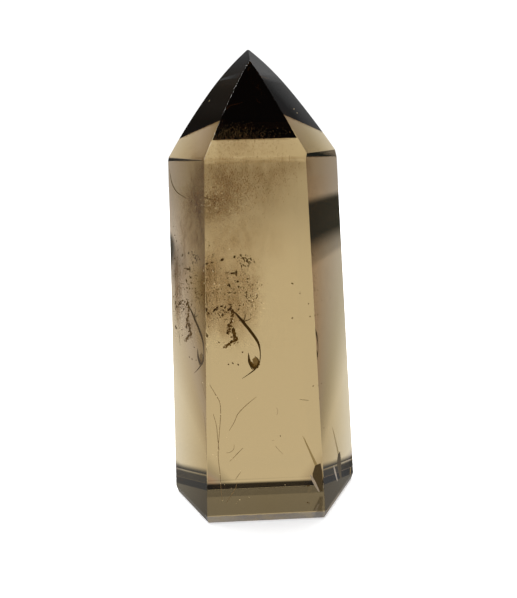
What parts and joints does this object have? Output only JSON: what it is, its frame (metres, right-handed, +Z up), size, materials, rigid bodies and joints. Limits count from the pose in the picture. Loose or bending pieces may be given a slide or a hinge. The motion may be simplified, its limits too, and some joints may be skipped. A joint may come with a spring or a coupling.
{
  "type": "smoky quartz tower",
  "caption": "Polished smoky quartz tower: a see-through brown prism with a dark faceted point, which stands upright on its flat base as a display piece.",
  "frame": {"origin": "middle of the bounding box, on the flat face that the tower stands on", "axes": "+Z up along the prism to the point; the broad front side faces -Y, as in the picture, and +X is to its right"},
  "size_m": [0.0316, 0.0212, 0.0725],
  "materials": {
    "smoky_quartz": "ground flat and polished, see-through"
  },
  "bodies": {
    "root": {"smoky_quartz_tower": "smoky_quartz"}
  },
  "joints": []
}
